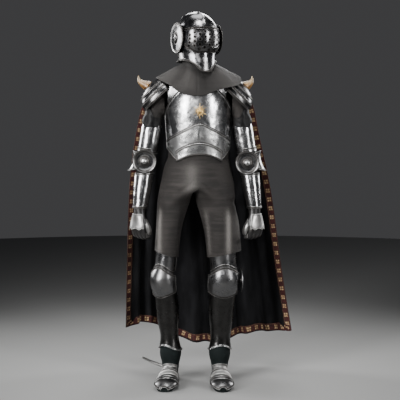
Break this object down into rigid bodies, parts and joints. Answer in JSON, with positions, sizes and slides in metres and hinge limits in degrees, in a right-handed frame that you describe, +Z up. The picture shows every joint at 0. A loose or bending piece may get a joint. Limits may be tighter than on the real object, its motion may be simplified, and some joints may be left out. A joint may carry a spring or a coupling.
{
  "type": "suit of plate armour",
  "caption": "Full suit of plate armour with a visored helmet, mail mantle and breeches, horned shoulders and a long bordered velvet cape, standing empty in its worn shape.",
  "frame": {"origin": "inside the collar on the middle plane of the body, where the wearer's shoulders and neck hold the suit up, 1.48 m above the soles", "axes": "+Z up, -Y the way the chest faces, +X the wearer's left"},
  "size_m": [0.8628, 0.6018, 1.8472],
  "materials": {
    "polished_steel": "polished, with a soft grey bloom and fine scratches",
    "dark_steel": "darkened and waxed",
    "mail": "dull fine riveted rings",
    "black_velvet": "deep pile",
    "red_braid": "woven, with small gold squares",
    "black_leather": "worn, blotchy",
    "horn": "amber at the foot, cream at the tip",
    "gilt": "dull gilt"
  },
  "bodies": {
    "suit": {"backplate": "polished_steel", "belly_plate_lower": "polished_steel", "belly_plate_upper": "polished_steel", "boot_left": "black_leather", "boot_right": "black_leather", "breastplate": "polished_steel", "cape": "black_velvet", "cape_border": "red_braid", "couter_left": "polished_steel", "couter_right": "polished_steel", "cuisse_left": "polished_steel", "cuisse_right": "polished_steel", "elbow_disc_left": "polished_steel", "elbow_disc_right": "polished_steel", "elbow_lame_left": "polished_steel", "elbow_lame_right": "polished_steel", "gauntlet_plate_left": "polished_steel", "gauntlet_plate_right": "polished_steel", "glove_left": "black_leather", "glove_right": "black_leather", "greave_left": "dark_steel", "greave_right": "dark_steel", "helmet_bevor": "polished_steel", "helmet_ear_disc_left": "polished_steel", "helmet_ear_disc_right": "polished_steel", "helmet_neck_guard": "polished_steel", "helmet_skull": "polished_steel", "horn_left": "horn", "horn_right": "horn", "knee_cup_left": "polished_steel", "knee_cup_right": "polished_steel", "knee_lame_left": "polished_steel", "knee_lame_right": "polished_steel", "knee_wing_left": "polished_steel", "lower_cannon_left": "polished_steel", "lower_cannon_right": "polished_steel", "mail_breeches": "mail", "mail_mantle": "mail", "mail_sleeve_left": "mail", "mail_sleeve_right": "mail", "pauldron_cap_left": "polished_steel", "pauldron_cap_right": "polished_steel", "pauldron_lame_1_left": "polished_steel", "pauldron_lame_1_right": "polished_steel", "pauldron_lame_2_left": "polished_steel", "pauldron_lame_2_right": "polished_steel", "sabaton_instep_left": "polished_steel", "sabaton_instep_right": "polished_steel", "sabaton_toe_left": "polished_steel", "sabaton_toe_right": "polished_steel", "shoulder_flap_left": "black_leather", "shoulder_flap_right": "black_leather", "spur_right": "polished_steel", "sun_boss": "gilt", "upper_cannon_left": "polished_steel", "upper_cannon_right": "polished_steel"},
    "visor": {"visor": "polished_steel"}
  },
  "joints": [
    {"name": "visor_pivot", "type": "hinge", "parent": "suit", "child": "visor", "pos_m": [-0.002, 0, 0.231], "axis": [-0.9135, -0.4067, 0], "range_deg": [0, 45]}
  ]
}
